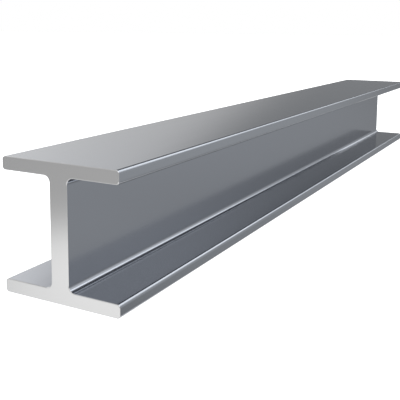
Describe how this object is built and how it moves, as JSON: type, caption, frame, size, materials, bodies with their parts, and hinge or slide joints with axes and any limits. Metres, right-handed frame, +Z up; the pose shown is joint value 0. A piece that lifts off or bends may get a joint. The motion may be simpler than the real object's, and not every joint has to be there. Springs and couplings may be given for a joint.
{
  "type": "wide-flange steel beam",
  "caption": "Cut length of wide-flange steel beam: two wide level flanges joined by a thick upright web, with root fillets and square sawn ends.",
  "frame": {"origin": "middle of the length and of the width, at the underside of the lower flange", "axes": "+X along the length, +Y across the flanges, +Z up the web to the upper flange"},
  "size_m": [1.7, 0.2, 0.2],
  "materials": {
    "steel": "clean bare steel with a satin sheen along the rolling direction, end faces sawn and a little lighter"
  },
  "bodies": {
    "root": {"beam": "steel"}
  },
  "joints": []
}
